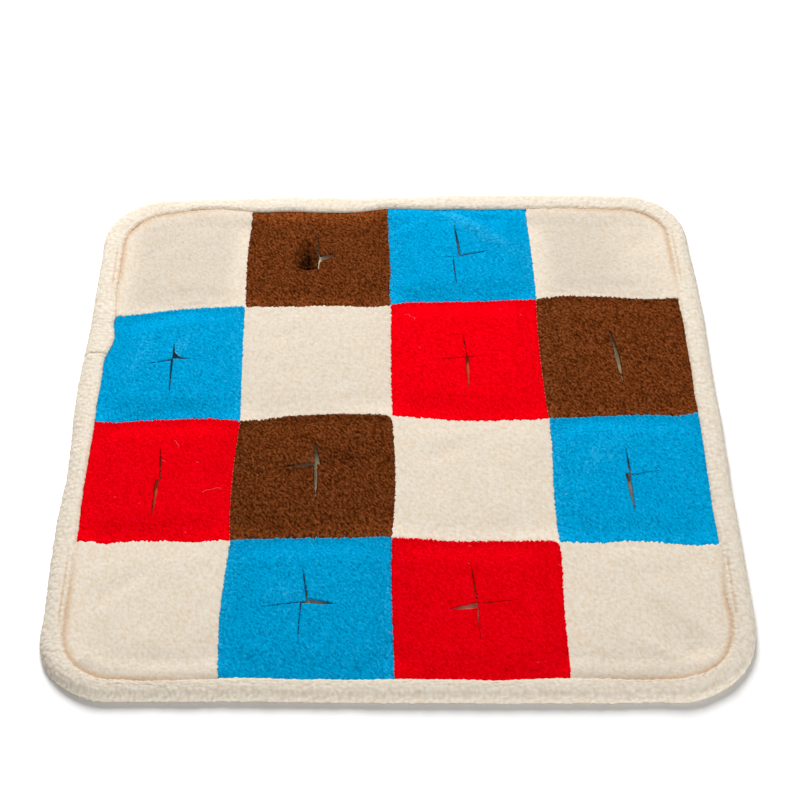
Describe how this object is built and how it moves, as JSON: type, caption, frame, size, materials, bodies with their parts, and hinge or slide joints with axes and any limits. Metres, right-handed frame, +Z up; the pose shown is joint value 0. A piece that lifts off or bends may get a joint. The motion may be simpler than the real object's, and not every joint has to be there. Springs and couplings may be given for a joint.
{
  "type": "snuffle mat",
  "caption": "Flat square patchwork fleece mat with a rounded binding; its coloured patches have cross cuts that open into treat pockets.",
  "frame": {"origin": "on the floor under the middle of the mat's outline", "axes": "+Z up out of the patchwork side, -Y towards the near edge with the larger round corners, +X to the right"},
  "size_m": [0.51, 0.5164, 0.013],
  "materials": {
    "cream_fleece": "short curly berber fleece",
    "brown_fleece": "short curly berber fleece",
    "blue_fleece": "short curly berber fleece",
    "red_fleece": "short curly berber fleece",
    "base_cloth": "plain grey-beige backing cloth"
  },
  "bodies": {
    "root": {"base_cloth": "base_cloth", "binding": "cream_fleece", "patch_cream_r1_c1": "cream_fleece", "patch_brown_r1_c2": "brown_fleece", "patch_blue_r1_c3": "blue_fleece", "patch_cream_r1_c4": "cream_fleece", "patch_blue_r2_c1": "blue_fleece", "patch_cream_r2_c2": "cream_fleece", "patch_red_r2_c3": "red_fleece", "patch_brown_r2_c4": "brown_fleece", "patch_red_r3_c1": "red_fleece", "patch_brown_r3_c2": "brown_fleece", "patch_cream_r3_c3": "cream_fleece", "patch_blue_r3_c4": "blue_fleece", "patch_cream_r4_c1": "cream_fleece", "patch_blue_r4_c2": "blue_fleece", "patch_red_r4_c3": "red_fleece", "patch_cream_r4_c4": "cream_fleece"}
  },
  "joints": []
}
